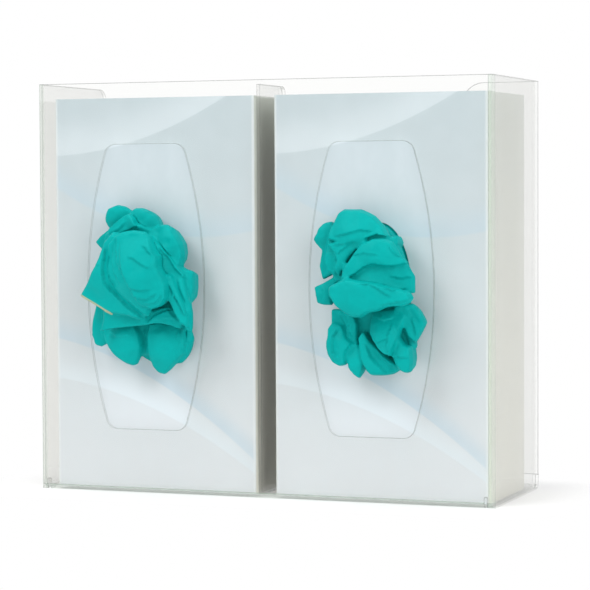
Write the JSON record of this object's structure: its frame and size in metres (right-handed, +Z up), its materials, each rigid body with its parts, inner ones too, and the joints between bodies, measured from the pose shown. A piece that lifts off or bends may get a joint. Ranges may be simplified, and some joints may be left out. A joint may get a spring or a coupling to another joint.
{
  "type": "disposable glove dispenser",
  "caption": "Clear top-loading dispenser that holds upright glove cartons side by side, with barrel-shaped cut-outs in the front and gloves pulled out through them.",
  "frame": {"origin": "middle of the underside of the housing's floor", "axes": "+Z up, +X to the viewer's right when facing the front, +Y from the front panel to the wall side"},
  "size_m": [0.296, 0.1407, 0.254],
  "materials": {
    "clear_sheet": "clear, polished",
    "printed_card": "pale blue-grey print, semi-gloss",
    "nitrile": "teal, satin"
  },
  "bodies": {
    "root": {"housing": "clear_sheet", "divider": "clear_sheet", "carton_left": "printed_card", "carton_right": "printed_card", "glove_pack_left": "nitrile", "glove_pack_right": "nitrile", "glove_left_upper": "nitrile", "glove_left_lower": "nitrile", "glove_right_upper": "nitrile", "glove_right_lower": "nitrile"}
  },
  "joints": []
}
